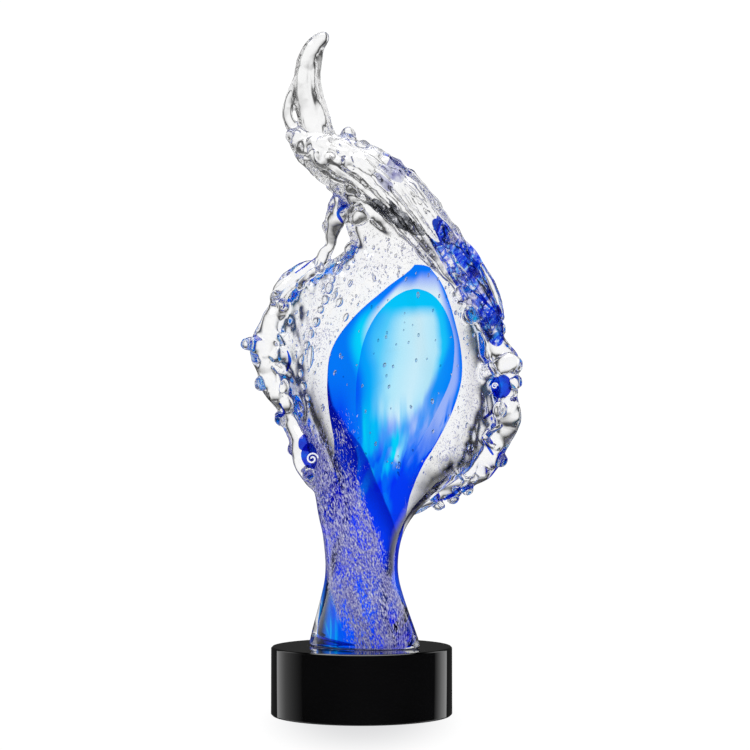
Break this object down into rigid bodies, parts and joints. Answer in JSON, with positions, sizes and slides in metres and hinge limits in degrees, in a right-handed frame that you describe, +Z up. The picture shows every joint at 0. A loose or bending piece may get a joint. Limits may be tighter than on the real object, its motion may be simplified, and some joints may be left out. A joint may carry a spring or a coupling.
{
  "type": "glass wave sculpture",
  "caption": "Hot-worked clear and blue glass wave with a twisted stem, lens-shaped leaf, breaking crest and curled horn on a round black crystal base.",
  "frame": {"origin": "centre of the round base's underside", "axes": "+Z up through the glass, -Y towards the front of the leaf, +X to the viewer's right"},
  "size_m": [0.1594, 0.1016, 0.3842],
  "materials": {
    "black_crystal": "polished",
    "bond_resin": "clear",
    "clear_glass": "fire polished",
    "frit": "white and lavender frit with fine bubbles",
    "cobalt_glass": "transparent cobalt",
    "aqua_glass": "transparent turquoise to white",
    "shoulder_glass": "clear with cobalt streaks and bubbles"
  },
  "bodies": {
    "root": {"aqua_heart": "aqua_glass", "base_block": "black_crystal", "bond_film": "bond_resin", "clear_body": "clear_glass", "cobalt_core": "cobalt_glass", "crest_band": "clear_glass", "crest_bead_1": "clear_glass", "crest_bead_2": "clear_glass", "frit_veil": "frit", "horn": "clear_glass", "horn_strand": "clear_glass", "left_bead_1": "clear_glass", "left_bead_2": "clear_glass", "left_bead_3": "clear_glass", "left_bead_4": "clear_glass", "left_bead_5": "clear_glass", "left_bead_6": "clear_glass", "left_link": "clear_glass", "left_rim": "clear_glass", "left_spur": "clear_glass", "right_bead_1": "clear_glass", "right_bead_2": "clear_glass", "right_bead_3": "clear_glass", "right_bead_4": "clear_glass", "right_bead_5": "clear_glass", "right_knob": "clear_glass", "right_rim": "clear_glass", "shoulder_band": "shoulder_glass"}
  },
  "joints": []
}
